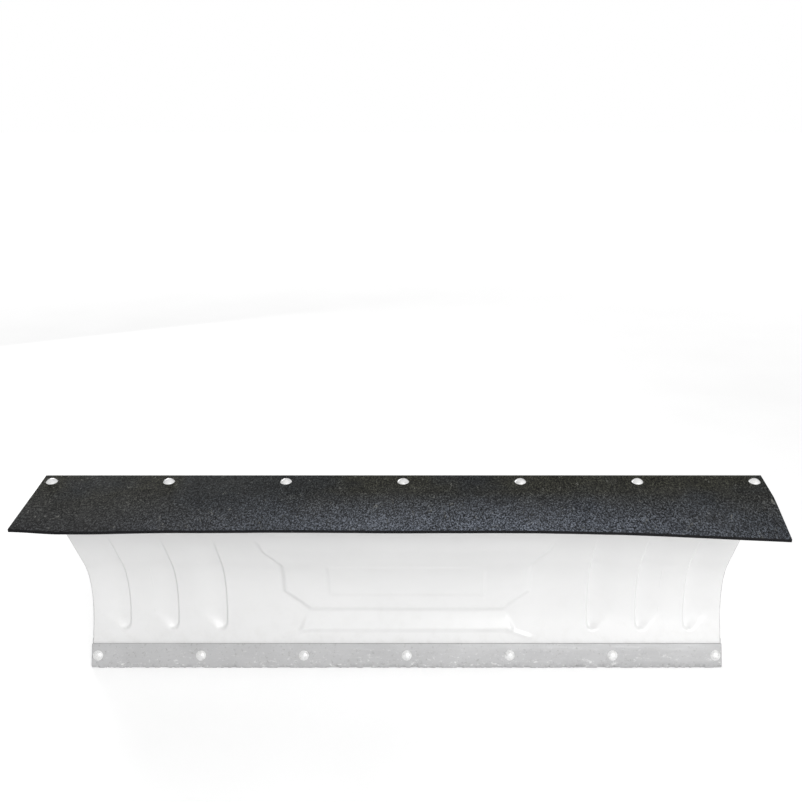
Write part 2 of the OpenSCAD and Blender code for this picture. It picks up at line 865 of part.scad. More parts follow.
module lock_bracket() {
    z0 = arm_z + arm_s / 2;
    top = ear_z[1] + ear_t;
    color(frame_black) difference() {
        union() {
            translate([-20, lock_back_y, z0]) cube([40, ear_t, top - z0]);
            for (z = ear_z) {
                translate([-20, lock_y, z]) cube([40, lock_back_y - lock_y, ear_t]);
                translate([0, lock_y, z]) cylinder(h = ear_t, r = 20);
            }
        }
        translate([0, lock_y, ear_z[0] - cut]) cylinder(h = top - ear_z[0] + 2 * cut, r = lock_d / 2 + run_gap);
    }
}

module lock_pin() {
    shoulder_z = ring_z - 6;
    color(zinc) translate([0, lock_y, 0]) difference() {
        union() {
            translate([0, 0, lock_tip_z]) cylinder(h = 4, r1 = lock_d / 2 - 3, r2 = lock_d / 2);
            translate([0, 0, lock_tip_z + 4]) cylinder(h = shoulder_z - lock_tip_z - 4, r = lock_d / 2);
            translate([0, 0, shoulder_z - cut]) cylinder(h = 14 + cut, r = lock_d / 2 - 2);
        }
        translate([0, 0, ring_z]) rotate([0, 90, 0]) cylinder(h = 2 * lock_d, r = ring_wire_r + 1.2, center = true);
    }
}

module lock_collar() {
    color(zinc) translate([0, lock_y, lock_collar_z - 3]) flat_ring(12, lock_d / 2 + 0.03, 3);
}

module lock_spring() {
    r = lock_d / 2 + 2.2;
    n = 7;
    pitch = (ear_z[1] - lock_collar_z - 2.6) / (n - 1);
    color(zinc) translate([0, lock_y, lock_collar_z + 1.3]) rotate_extrude() {
        for (i = [0:n - 1]) translate([r, i * pitch]) circle(1.2);
        translate([r - 0.5, 0]) square([1, (n - 1) * pitch]);
    }
}

module pull_ring() {
    color(zinc) translate([0, lock_y, ring_z]) rotate([-60, 0, 0]) translate([0, 0, ring_r - 0.5])
        rotate([90, 0, 0]) rotate_extrude() translate([ring_r, 0]) circle(ring_wire_r);
}

// ---------- nodes ----------

moldboard();
bottom_angle();
cross_tube();
tube_plugs();
pivot_ribs();
mid_ribs();
outer_ribs();
wear_bar();
wear_bar_bolts();
wear_bar_nuts();
flap_margin();
flap_apron();
flap_bolts();
flap_washers();
flap_nuts();
skid_dish_left();
skid_stem_left();
skid_dish_right();
skid_stem_right();
skid_clamp_bolts();
skid_clamp_nuts();
trip_pins();
trip_pin_clips();
stop_crossbar();
stop_bumpers();
trip_spring_left();
spring_hook_left();
trip_spring_right();
spring_hook_right();
spring_eye_bolts();
spring_eye_nuts();
spring_anchor_pins();
anchor_pin_clips();
swivel_cheeks();
sector_plate();
lower_plate();
head_barrel();
head_arm();
head_flange();
head_gussets();
king_pin();
king_washers();
king_nut();
lock_bracket();
lock_pin();
lock_collar();
lock_spring();
pull_ring();
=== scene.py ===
"""Looks of a plow blade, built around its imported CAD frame.

Lengths are millimetres until new_piece() turns them into the frame's metres. X runs along the blade,
Y points back to the vehicle and Z points up.
"""

import json
import math

import bpy
import numpy as np
from mathutils import Matrix, Vector, noise


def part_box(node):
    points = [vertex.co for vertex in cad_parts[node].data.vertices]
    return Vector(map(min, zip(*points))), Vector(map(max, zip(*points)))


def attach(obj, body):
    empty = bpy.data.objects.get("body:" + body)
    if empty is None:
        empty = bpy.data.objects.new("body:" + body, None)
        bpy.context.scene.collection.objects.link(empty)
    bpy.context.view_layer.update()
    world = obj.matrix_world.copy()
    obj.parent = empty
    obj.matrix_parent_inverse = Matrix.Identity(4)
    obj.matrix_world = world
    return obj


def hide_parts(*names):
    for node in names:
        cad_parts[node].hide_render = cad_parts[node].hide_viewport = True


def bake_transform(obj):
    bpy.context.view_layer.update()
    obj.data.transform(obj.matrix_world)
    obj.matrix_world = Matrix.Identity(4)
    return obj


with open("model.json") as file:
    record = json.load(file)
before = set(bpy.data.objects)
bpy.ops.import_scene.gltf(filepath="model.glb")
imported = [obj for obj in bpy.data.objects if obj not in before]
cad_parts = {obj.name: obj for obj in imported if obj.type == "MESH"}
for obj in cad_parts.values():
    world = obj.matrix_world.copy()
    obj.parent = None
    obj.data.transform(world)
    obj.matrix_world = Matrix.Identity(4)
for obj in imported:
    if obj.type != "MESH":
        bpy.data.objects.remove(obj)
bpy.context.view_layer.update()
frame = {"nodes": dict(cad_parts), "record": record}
nodes = frame["nodes"]
scene = bpy.context.scene
MM = 0.001


def node_box(name):
    """Lowest and highest corner of a CAD node, in millimetres."""
    low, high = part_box(name)
    return Vector(low) / MM, Vector(high) / MM


# ---------- driving sizes ----------

# The sheet, bar, flap, fasteners and springs are where the CAD model has them
BLADE_HALF = node_box("moldboard")[1].x
FLAP_HALF = node_box("flap_apron")[1].x
SHEET_T = 3.0
LOWER_LEAN = math.radians(18)
UPPER_LEAN = math.radians(39)
LOWER_LEN = 96.5
CURVE_R = 160.0
UPPER_LEN = 297.0
SHEET_START = 10.0
BEND_OUT = 6.0
FLANGE_W = 45.0
FLANGE_RISE = math.radians(8)
END_FLANGE_D = 20.0
END_CORNER_R = 4.0

BAR_T = 6.35
BAR_H = 51.0
ANGLE_T = 4.0
BOLT_PITCH = 224.0
BOLT_XS = [i * BOLT_PITCH for i in range(-3, 4)]

PRESS_H = 6.0
FLUTE_X = (390.0, 496.0, 601.0)
FLUTE_FOOT_Z = 75.0
FLUTE_CORNER_R = 16.0
PANEL = [(210, 115), (270, 162), (270, 240), (300, 285), (318, 345)]

# Low relief that only the visual model has: the pad, ledge, ridges and top strip
PAD_HALF, PAD_LOW_Z, PAD_HIGH_Z, PAD_H = 168, 157, 240, 1.3
LEDGE_HALF, LEDGE_LOW_Z, LEDGE_H = 212, 77, 4.0
RIDGE, RIDGE_H = [(222, 75), (268, 61)], 1.7
STRIP_Z, STRIP_H = 344, 1.2

FLAP_LEN = 203.0
FLAP_T = 6.35
FLAP_GAP = 0.05
FLEX_U = 4.0
FLAP_BOLT_U = 18.0
FLAP_SAG = 19.0
SAG_START_X = 205.0

NUT_SEAT = 1.0
RIB_T = 6
MID_RIB_X = 330
CLAMP_X = MID_RIB_X - RIB_T / 2
CLAMP_Y = 105.0
CLAMP_ZS = (110.0, 150.0)

# Each anchor pin ends 18 outside the middle of its spring
SPRING_X = node_box("spring_anchor_pins")[1].x - 18
SPRING_LOW = Vector((0, 180, 115))
SPRING_HIGH = Vector((0, 62, 290))
COIL_R = 12.5
COIL_START = 28.5
COIL_TURNS = 28
COIL_PITCH = 5.0
HOOK_R = 8.7
SPRING_WIRE_R = 2.42
LOCK_COIL_R = 10.2
LOCK_WIRE_R = 1.2
WELD_STEP = 1.2

FOOT_Y = BAR_T * math.cos(LOWER_LEAN)
CURVE_Y = FOOT_Y + LOWER_LEN * math.sin(LOWER_LEAN) - CURVE_R * math.cos(LOWER_LEAN)
CURVE_Z = LOWER_LEN * math.cos(LOWER_LEAN) + CURVE_R * math.sin(LOWER_LEAN)
UPPER_Y = CURVE_Y + CURVE_R * math.cos(UPPER_LEAN)
UPPER_Z = CURVE_Z + CURVE_R * math.sin(UPPER_LEAN)
BEND_Y = UPPER_Y - UPPER_LEN * math.sin(UPPER_LEAN) + BEND_OUT * math.cos(UPPER_LEAN)
BEND_Z = UPPER_Z + UPPER_LEN * math.cos(UPPER_LEAN) + BEND_OUT * math.sin(UPPER_LEAN)

# Arc lengths along the front face, from the foot
S_CURVE = LOWER_LEN
S_UPPER = S_CURVE + CURVE_R * (LOWER_LEAN + UPPER_LEAN)
S_BEND = S_UPPER + UPPER_LEN
S_FLANGE = S_BEND + BEND_OUT * (math.pi / 2 + UPPER_LEAN - FLANGE_RISE)
S_END = S_FLANGE + FLANGE_W


# ---------- mesh tools ----------

def smooth(t):
    """0 below 0, 1 above 1, and a smooth step between."""
    t = np.clip(t, 0.0, 1.0)
    return t * t * (3 - 2 * t)


def graded(stops, end):
    """Rising values up to end. Each stop gives a value and the step to use from there on."""
    values = []
    for (a, step), (b, _) in zip(stops, stops[1:] + [(end, 0)]):
        count = max(1, round((b - a) / step))
        values += list(np.linspace(a, b, count, endpoint=False))
    return np.array(values + [end])


def mirrored(values):
    """The values and their negatives, rising, with 0 once."""
    return np.concatenate([-values[:0:-1], values])


def lumps(points, size, seed):
    """Smooth noise from -1 to 1 at each point, with features of about the given size."""
    shift = Vector((seed * 17.3, seed * -9.1, seed * 5.7))
    return np.array([noise.noise(Vector(p) / size + shift) for p in points])


class Build:
    """Collects closed surfaces into one mesh."""

    def __init__(self):
        self.points = []
        self.faces = []
        self.count = 0

    def add(self, surface, at=None):
        """Adds a surface, moved by the matrix at."""
        points, faces = surface
        points = np.asarray(points, float)
        if at is not None:
            m = np.array(at)
            points = points @ m[:3, :3].T + m[:3, 3]
            if np.linalg.det(m[:3, :3]) < 0:
                faces = [tuple(reversed(f)) for f in faces]
        self.faces += [tuple(i + self.count for i in f) for f in faces]
        self.points.append(points)
        self.count += len(points)

    def surface(self):
        return np.concatenate(self.points), self.faces


def new_piece(name, surface, material, body=None, sharp=35):
    """Makes a Blender object from a surface in millimetres and lets it ride on a CAD body."""
    points, faces = surface
    mesh = bpy.data.meshes.new(name)
    mesh.from_pydata((np.asarray(points) * MM).tolist(), [], faces)
    mesh.polygons.foreach_set("use_smooth", [True] * len(faces))
    mesh.set_sharp_from_angle(angle=math.radians(sharp))
    mesh.materials.append(material)
    obj = bpy.data.objects.new(name, mesh)
    scene.collection.objects.link(obj)
    if body:
        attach(obj, body)
    return obj


def soften(obj, width, segments, angle):
    """Rounds the edges of a piece that turn by more than an angle in degrees."""
    bevel = obj.modifiers.new("edges", "BEVEL")
    bevel.width = width * MM
    bevel.segments = segments
    bevel.limit_method = "ANGLE"
    bevel.angle_limit = math.radians(angle)


def shell(front, rear):
    """Closed sheet between two grids of points, row by row. The front faces the direction along its rows
    crossed with the direction from row to row."""
    rows, cols = front.shape[:2]
    n = rows * cols
    points = np.concatenate([front.reshape(-1, 3), rear.reshape(-1, 3)])
    faces = []
    for r in range(rows - 1):
        for a in range(r * cols, r * cols + cols - 1):
            faces.append((a, a + 1, a + cols + 1, a + cols))
            faces.append((n + a, n + a + cols, n + a + cols + 1, n + a + 1))
    ring = list(range(cols))
    ring += [r * cols + cols - 1 for r in range(1, rows)]
    ring += [(rows - 1) * cols + c for c in range(cols - 2, -1, -1)]
    ring += [r * cols for r in range(rows - 2, 0, -1)]
    for a, b in zip(ring, ring[1:] + ring[:1]):
        faces.append((b, a, n + a, n + b))
    return points, faces


def behind(front, depth):
    """The grid that lies depth behind a front grid."""
    normal = np.cross(np.gradient(front, axis=1), np.gradient(front, axis=0))
    return front - depth * normal / np.linalg.norm(normal, axis=2, keepdims=True)


def lathe(profile, segments, ring=False):
    """Surface turned round Z. profile lists (radius, z) upward on the outside; radius may be a function of
    the angle. A ring's profile closes on itself; otherwise both ends are capped."""
    angles = [2 * math.pi * i / segments for i in range(segments)]
    points = []
    for radius, z in profile:
        for a in angles:
            r = radius(a) if callable(radius) else radius
            points.append((r * math.cos(a), r * math.sin(a), z))
    rows = len(profile)
    faces = []
    for r in range(rows if ring else rows - 1):
        for i in range(segments):
            j = (i + 1) % segments
            low, high = r * segments, (r + 1) % rows * segments
            faces.append((low + i, low + j, high + j, high + i))
    if not ring:
        faces.append(tuple(reversed(range(segments))))
        faces.append(tuple(range((rows - 1) * segments, rows * segments)))
    return points, faces


def sweep(path, radius, sides):
    """Round wire along a path, with capped ends. radius is a number or one per point."""
    path = np.asarray(path, float)
    count = len(path)
    radii = np.broadcast_to(np.asarray(radius, float), (count,))
    along = np.gradient(path, axis=0)
    along /= np.linalg.norm(along, axis=1, keepdims=True)
    side = np.cross(along[0], (0.31, 0.57, 0.76))
    points = []
    for i in range(count):
        side = side - along[i] * (side @ along[i])
        side /= np.linalg.norm(side)
        up = np.cross(along[i], side)
        for k in range(sides):
            a = 2 * math.pi * k / sides
            points.append(path[i] + radii[i] * (math.cos(a) * side + math.sin(a) * up))
    faces = []
    for i in range(count - 1):
        low, high = i * sides, (i + 1) * sides
        for k in range(sides):
            m = (k + 1) % sides
            faces.append((low + k, low + m, high + m, high + k))
    faces.append(tuple(reversed(range(sides))))
    faces.append(tuple(range((count - 1) * sides, count * sides)))
    return points, faces


def straight(a, b):
    """Points along a line, for a weld."""
    a, b = np.asarray(a, float), np.asarray(b, float)
    count = max(2, int(np.linalg.norm(b - a) / WELD_STEP))
    return [a + (b - a) * i / count for i in range(count + 1)]


def weld(path, radius, seed):
    """Lumpy bead along a path, with the ripples of a hand weld."""
    path = np.asarray(path, float)
    run = np.concatenate([[0], np.cumsum(np.linalg.norm(np.diff(path, axis=0), axis=1))])
    ripple = 1 + 0.1 * np.abs(np.sin(run * math.pi / 3.2)) + 0.12 * lumps(path, 9, seed)
    ends = np.minimum(run, run[-1] - run) / radius
    return sweep(path, radius * ripple * np.sqrt(np.clip(0.35 + ends, 0, 1)), 9)


# ---------- materials ----------

class Surface:
    """A node material. Each method adds a node and returns its output."""

    def __init__(self, name):
        self.material = bpy.data.materials.new(name)
        self.material.use_nodes = True
        self.tree = self.material.node_tree
        self.shader = self.tree.nodes["Principled BSDF"]
        self.here = self.tree.nodes.new("ShaderNodeTexCoord").outputs["Object"]

    def node(self, kind, **inputs):
        made = self.tree.nodes.new(kind)
        for name, value in inputs.items():
            self.link(made.inputs[name.replace("_", " ")], value)
        return made

    def link(self, socket, value):
        if isinstance(value, bpy.types.NodeSocket):
            self.tree.links.new(value, socket)
        elif socket.type == "RGBA" and not hasattr(value, "__len__"):
            socket.default_value = (value, value, value, 1)
        elif socket.type == "RGBA":
            socket.default_value = (*value[:3], 1)
        else:
            socket.default_value = value

    def stretched(self, scale, turn=0.0):
        """The place on the piece, in metres, stretched by a scale for each axis."""
        made = self.node("ShaderNodeMapping", Vector=self.here, Rotation=(0, turn, 0), Scale=scale)
        return made.outputs["Vector"]

    def noise(self, scale, detail=4, rough=0.5, where=None, bend=0.0):
        made = self.node("ShaderNodeTexNoise", Vector=where or self.here, Scale=scale, Detail=detail,
                         Roughness=rough, Distortion=bend)
        return made.outputs["Fac"]

    def cells(self, scale):
        made = self.node("ShaderNodeTexVoronoi", Vector=self.here, Scale=scale)
        return made.outputs["Distance"]

    def ramp(self, value, *stops):
        """Maps a value through stops of (position, number or colour)."""
        made = self.node("ShaderNodeValToRGB", Fac=value)
        elements = made.color_ramp.elements
        while len(elements) < len(stops):
            elements.new(0.5)
        for element, (position, shade) in zip(elements, stops):
            element.position = position
            shade = shade if hasattr(shade, "__len__") else (shade,) * 3
            element.color = (*shade, 1)
        return made.outputs["Color"]

    def mix(self, share, a, b, mode="MIX"):
        made = self.tree.nodes.new("ShaderNodeMix")
        made.data_type = "RGBA"
        made.blend_type = mode
        made.clamp_result = False
        self.link(made.inputs[0], share)
        self.link(made.inputs[6], a)
        self.link(made.inputs[7], b)
        return made.outputs[2]

    def math(self, operation, a, b=0.0):
        made = self.tree.nodes.new("ShaderNodeMath")
        made.operation = operation
        made.use_clamp = operation != "SUBTRACT"
        self.link(made.inputs[0], a)
        self.link(made.inputs[1], b)
        return made.outputs[0]

    def level(self, axis, low, high):
        """Goes from 0 to 1 as a coordinate of the piece goes from low to high, in metres."""
        split = self.node("ShaderNodeSeparateXYZ", Vector=self.here)
        made = self.node("ShaderNodeMapRange", Value=split.outputs[axis])
        made.inputs["From Min"].default_value = low
        made.inputs["From Max"].default_value = high
        return made.outputs["Result"]

    def bump(self, height, depth, under=None):
        """Relief of the given depth, in millimetres."""
        made = self.node("ShaderNodeBump", Height=height, Strength=1.0, Distance=depth * MM)
        if under:
            self.link(made.inputs["Normal"], under)
        return made.outputs["Normal"]

    def finish(self, **inputs):
        for name, value in inputs.items():
            self.link(self.shader.inputs[name.replace("_", " ")], value)
        return self.material


def enamel(name, shade, grime):
    """Semi-gloss enamel with orange peel, faint mottling, scuffs, grime towards the ground, mottled grey end
    faces, and painted shade that darkens the upper part under the flap."""
    s = Surface(name)
    cloud = s.noise(5, 3)
    colour = s.mix(s.ramp(cloud, (0.35, 0), (0.7, 1)), shade, tuple(c * 0.975 for c in shade))
    low = s.ramp(s.level("Z", 0.03, 0.17), (0, 1.0), (0.35, 0.35), (1, 0.08))
    stains = s.math("MULTIPLY", s.ramp(s.noise(38, 6, 0.62), (0.48, 0), (0.72, 1)), low)
    colour = s.mix(s.math("MULTIPLY", stains, grime), colour, (0.40, 0.37, 0.32))
    scuffs = s.ramp(s.noise(30, 8, 0.7, s.stretched((1.0, 1.0, 9.0), 0.25)), (0.66, 0), (0.72, 1))
    colour = s.mix(s.math("MULTIPLY", scuffs, 0.22 * grime), colour, (0.45, 0.45, 0.44))
    # The end faces of the sheet are mottled grey
    outward = s.math("ABSOLUTE", s.node("ShaderNodeSeparateXYZ", Vector=s.here).outputs["X"])
    end_face = s.math("GREATER_THAN", outward, BLADE_HALF * MM - 0.0025)
    grey_ends = s.math("MULTIPLY", end_face, s.ramp(s.noise(55, 6, 0.7), (0.35, 0.2), (0.6, 1)))
    colour = s.mix(grey_ends, colour, (0.50, 0.50, 0.50))
    # Painted shade: the upper part of the sheet, under the flap, is up to 12% darker
    colour = s.mix(1.0, colour, s.ramp(s.level("Z", 0.26, 0.36), (0, 1), (1, 0.88)), "MULTIPLY")
    rough = s.ramp(s.noise(24, 4), (0.3, 0.30), (0.7, 0.44))
    peel = s.bump(s.noise(420, 2), 0.035)
    return s.finish(Base_Color=colour, Roughness=rough, Normal=peel, Coat_Weight=0.15, Coat_Roughness=0.2)


def worn_steel():
    """Light grey steel with long scratches, faint mottling, pits and bright nicks along the lower edge.
    Painted shade darkens it a little towards +X."""
    s = Surface("wear_steel")
    mottle = s.noise(14, 5, 0.55)
    colour = s.ramp(mottle, (0.3, (0.51, 0.51, 0.515)), (0.7, (0.56, 0.56, 0.565)))
    drag = s.noise(60, 8, 0.75, s.stretched((0.35, 1, 5.0), 0.06))
    colour = s.mix(s.ramp(drag, (0.55, 0), (0.78, 0.4)), colour, (0.70, 0.70, 0.705))
    edge = s.ramp(s.level("Z", 0.0, 0.045), (0, 1), (0.3, 0.5), (1, 0.1))
    nicks = s.ramp(s.noise(110, 6, 0.8, s.stretched((0.8, 1, 1.6), 0.7)), (0.58, 0), (0.61, 1))
    colour = s.mix(s.math("MULTIPLY", nicks, edge), colour, (0.95, 0.95, 0.94))
    dark = s.ramp(s.noise(150, 7, 0.75), (0.57, 0), (0.66, 0.7))
    colour = s.mix(dark, colour, (0.30, 0.295, 0.29))
    # Painted shade: the bar is up to 14% darker towards +X
    colour = s.mix(1.0, colour, s.ramp(s.level("X", -0.69, 0.69), (0, 1), (1, 0.86)), "MULTIPLY")
    rough = s.ramp(drag, (0.3, 0.62), (0.8, 0.42))
    relief = s.bump(s.noise(240, 6, 0.7, s.stretched((0.3, 1, 2))), 0.08)
    return s.finish(Base_Color=colour, Metallic=0.22, Roughness=rough, Normal=relief)


def grained_rubber():
    """Black sheet rubber: speckle and scratches, bluish patches, a painted olive reflection towards the
    rear, a painted sheen in front, and painted shade that makes the edge and underside near-black."""
    s = Surface("flap_rubber")
    ahead = s.level("Y", -0.14, -0.33)
    # Painted reflections in the tone: olive towards the rear, a lighter bluish grey in front
    tone = s.mix(ahead, (0.100, 0.100, 0.072), (0.108, 0.111, 0.118))
    middle = s.math("SUBTRACT", s.level("X", -0.62, 0.05), s.level("X", 0.18, 0.95))
    bluish = s.ramp(s.noise(5.5, 3, 0.55), (0.44, 0), (0.56, 0.8))
    tone = s.mix(bluish, tone, (0.080, 0.090, 0.100))
    # Painted sheen: a bluish highlight of reflected light on the front middle of the flap
    painted_sheen = s.math("MULTIPLY", s.ramp(middle, (0.1, 0), (0.9, 1)), s.ramp(ahead, (0.3, 0), (0.9, 1)))
    tone = s.mix(painted_sheen, tone, (0.32, 0.355, 0.425))
    flecks = s.noise(360, 5, 0.85, s.stretched((1.0, 0.55, 1.0), 0.1))
    colour = s.mix(1.0, tone, s.ramp(flecks, (0.45, 0.02), (0.53, 0.36), (0.59, 1)), "MULTIPLY")
    cloud = s.noise(30, 4, 0.6)
    colour = s.mix(1.0, colour, s.ramp(cloud, (0.35, 0.68), (0.65, 1)), "MULTIPLY")
    dust = s.ramp(s.noise(9, 6, 0.65), (0.45, 0), (0.8, 1))
    colour = s.mix(s.math("MULTIPLY", dust, 0.2), colour, (0.075, 0.075, 0.073))
    scratch = s.ramp(s.noise(46, 9, 0.8, s.stretched((2.2, 1.0, 1.0), 0.2), 0.6), (0.60, 0), (0.64, 1))
    colour = s.mix(s.math("MULTIPLY", scratch, 0.7), colour, (0.25, 0.25, 0.23))
    # Painted shade: faces that don't face up, the edge and underside, are near-black; they also carry none
    # of the top's dust
    facing = s.node("ShaderNodeSeparateXYZ", Vector=s.node("ShaderNodeNewGeometry").outputs["Normal"])
    top = s.ramp(facing.outputs["Z"], (0.45, 0), (0.75, 1))
    colour = s.mix(top, (0.008, 0.008, 0.009), colour)
    rough = s.ramp(s.noise(60, 5), (0.3, 0.62), (0.75, 0.8))
    grain = s.bump(s.cells(620), 0.08, s.bump(s.noise(150, 5, 0.6), 0.10))
    return s.finish(Base_Color=colour, Roughness=rough, Normal=grain, Specular_IOR_Level=0.12)


def plated(name, shade, rough_low, rough_high, metallic):
    """Zinc-plated steel with faint blotches and a fine grain."""
    s = Surface(name)
    blotch = s.noise(120, 5, 0.6)
    colour = s.ramp(blotch, (0.35, tuple(c * 0.88 for c in shade)), (0.65, shade))
    colour = s.mix(s.ramp(s.noise(60, 3), (0.5, 0), (0.8, 0.16)), colour, (0.78, 0.74, 0.62))
    colour = s.mix(s.ramp(s.noise(190, 4, 0.6), (0.55, 0), (0.62, 0.3)), colour, (0.32, 0.31, 0.30))
    rough = s.ramp(s.noise(300, 4), (0.3, rough_low), (0.7, rough_high))
    grain = s.bump(s.noise(900, 2), 0.012)
    return s.finish(Base_Color=colour, Metallic=metallic, Roughness=rough, Normal=grain)


def powder_black():
    """Textured black powder coat with a little dust on top."""
    s = Surface("frame_paint")
    colour = s.ramp(s.noise(16, 5), (0.3, (0.016, 0.017, 0.018)), (0.7, (0.028, 0.029, 0.03)))
    facing = s.node("ShaderNodeSeparateXYZ", Vector=s.node("ShaderNodeNewGeometry").outputs["Normal"])
    dust = s.math("MULTIPLY", s.ramp(s.noise(42, 6, 0.7), (0.4, 0), (0.8, 0.35)), facing.outputs["Z"])
    colour = s.mix(dust, colour, (0.16, 0.155, 0.145))
    chips = s.ramp(s.noise(130, 7, 0.8), (0.715, 0), (0.725, 1))
    colour = s.mix(s.math("MULTIPLY", chips, 0.6), colour, (0.30, 0.28, 0.26))
    texture = s.bump(s.noise(1100, 2), 0.06)
    rough = s.ramp(s.noise(70, 3), (0.3, 0.42), (0.7, 0.58))
    return s.finish(Base_Color=colour, Roughness=rough, Normal=texture)


def skid_steel():
    """Dark steel with some rust, worn bright where it slides on the ground."""
    s = Surface("skid_steel")
    colour = s.ramp(s.noise(34, 6, 0.65), (0.3, (0.13, 0.13, 0.135)), (0.72, (0.24, 0.235, 0.23)))
    rust = s.ramp(s.noise(70, 8, 0.75), (0.55, 0), (0.70, 0.75))
    colour = s.mix(rust, colour, (0.21, 0.10, 0.05))
    bare = s.ramp(s.level("Z", 0.0, 0.016), (0, 1), (0.4, 0.7), (1, 0))
    colour = s.mix(bare, colour, (0.52, 0.51, 0.50))
    metal = s.ramp(rust, (0, 0.8), (0.6, 0.1))
    rough = s.ramp(rust, (0, 0.4), (0.7, 0.8))
    relief = s.bump(s.noise(220, 6, 0.7), 0.12)
    return s.finish(Base_Color=colour, Metallic=metal, Roughness=rough, Normal=relief)


def moulded(name, shade, rough, grain):
    """Black rubber or plastic with a fine moulded grain."""
    s = Surface(name)
    colour = s.ramp(s.noise(80, 4), (0.3, shade), (0.75, tuple(c * 1.9 for c in shade)))
    uneven = s.ramp(s.noise(90, 3), (0.3, rough), (0.7, rough + 0.15))
    return s.finish(Base_Color=colour, Roughness=uneven, Normal=s.bump(s.noise(700, 3), grain))


WHITE = (0.85, 0.85, 0.848)
FINISH = {
    "blade_paint": enamel("blade_paint", WHITE, 0.16),
    "wear_steel": worn_steel(),
    "flap_rubber": grained_rubber(),
    "zinc_steel": plated("zinc_steel", (0.96, 0.96, 0.96), 0.34, 0.5, 0.3),
    "spring_steel": plated("spring_steel", (0.62, 0.63, 0.65), 0.3, 0.5, 0.9),
    "skid_steel": skid_steel(),
    "frame_paint": powder_black(),
    "bumper_rubber": moulded("bumper_rubber", (0.014, 0.014, 0.015), 0.6, 0.08),
    "plug_plastic": moulded("plug_plastic", (0.012, 0.012, 0.013), 0.4, 0.03),
}
SLOT_OF = {row["node"]: row["material_slot"] for row in frame["record"]["subparts"]}


# ---------- places on the blade ----------

def front_face(s):
    """Points (y, z) and forward normals (y, z) of the blade's front face at arc lengths s."""
    s = np.asarray(s, float)
    on_curve = -LOWER_LEAN + (s - S_CURVE) / CURVE_R
    on_bend = math.pi + UPPER_LEAN - (s - S_BEND) / BEND_OUT
    flat = math.pi / 2 + FLANGE_RISE
    zones = [s < S_CURVE, s < S_UPPER, s < S_BEND, s < S_FLANGE]
    up = s - S_UPPER
    back = s - S_FLANGE
    y = np.select(zones, [
        FOOT_Y + s * math.sin(LOWER_LEAN), CURVE_Y + CURVE_R * np.cos(on_curve),
        UPPER_Y - up * math.sin(UPPER_LEAN), BEND_Y + BEND_OUT * np.cos(on_bend),
    ], BEND_Y + BEND_OUT * math.cos(flat) + back * math.cos(FLANGE_RISE))
    z = np.select(zones, [
        s * math.cos(LOWER_LEAN), CURVE_Z + CURVE_R * np.sin(on_curve),
        UPPER_Z + up * math.cos(UPPER_LEAN), BEND_Z + BEND_OUT * np.sin(on_bend),
    ], BEND_Z + BEND_OUT * math.sin(flat) + back * math.sin(FLANGE_RISE))
    one = np.ones_like(s)
    ny = np.select(zones, [-math.cos(LOWER_LEAN) * one, -np.cos(on_curve), -math.cos(UPPER_LEAN) * one,
                           np.cos(on_bend)], math.cos(flat))
    nz = np.select(zones, [math.sin(LOWER_LEAN) * one, -np.sin(on_curve), -math.sin(UPPER_LEAN) * one,
                           np.sin(on_bend)], math.sin(flat))
    return y, z, ny, nz


def arc_length_at(height):
    """Arc length where the front face reaches a height, below the top bend."""
    s = np.linspace(0, S_BEND, 400)
    return np.interp(height, front_face(s)[1], s)


def on_slope(x, depth, up):
    """Matrix of a place on the lower slope: depth behind the front face, up from the foot."""
    turn = Matrix.Translation((x, FOOT_Y, 0)) @ Matrix.Rotation(-LOWER_LEAN, 4, "X")
    return turn @ Matrix.Translation((0, depth, up))


def on_flange(x, back, up):
    """Matrix of a place on the top flange, measured from the bend's centre."""
    turn = Matrix.Translation((x, BEND_Y, BEND_Z)) @ Matrix.Rotation(FLANGE_RISE, 4, "X")
    return turn @ Matrix.Translation((0, back, up))


def turned(axis, degrees):
    return Matrix.Rotation(math.radians(degrees), 4, axis)


BOTH_SIDES = (Matrix.Identity(4), Matrix.Scale(-1, 4, (1, 0, 0)))


# ---------- blade sheet ----------

def outline_depth(x, z, outline):
    """Distance inside a closed outline, negative outside it."""
    nearest = np.full(x.shape, 1e9)
    inside = np.zeros(x.shape, bool)
    for (ax, az), (bx, bz) in zip(outline, outline[1:] + outline[:1]):
        dx, dz = bx - ax, bz - az
        t = np.clip(((x - ax) * dx + (z - az) * dz) / (dx * dx + dz * dz), 0, 1)
        nearest = np.minimum(nearest, np.hypot(x - ax - t * dx, z - az - t * dz))
        if az != bz:
            crosses = (az > z) != (bz > z)
            inside ^= crosses & (x < ax + (z - az) * dx / dz)
    return np.where(inside, nearest, -nearest)


def line_distance(x, z, points):
    """Distance to an open line of points."""
    nearest = np.full(x.shape, 1e9)
    for (ax, az), (bx, bz) in zip(points, points[1:]):
        dx, dz = bx - ax, bz - az
        t = np.clip(((x - ax) * dx + (z - az) * dz) / (dx * dx + dz * dz), 0, 1)
        nearest = np.minimum(nearest, np.hypot(x - ax - t * dx, z - az - t * dz))
    return nearest


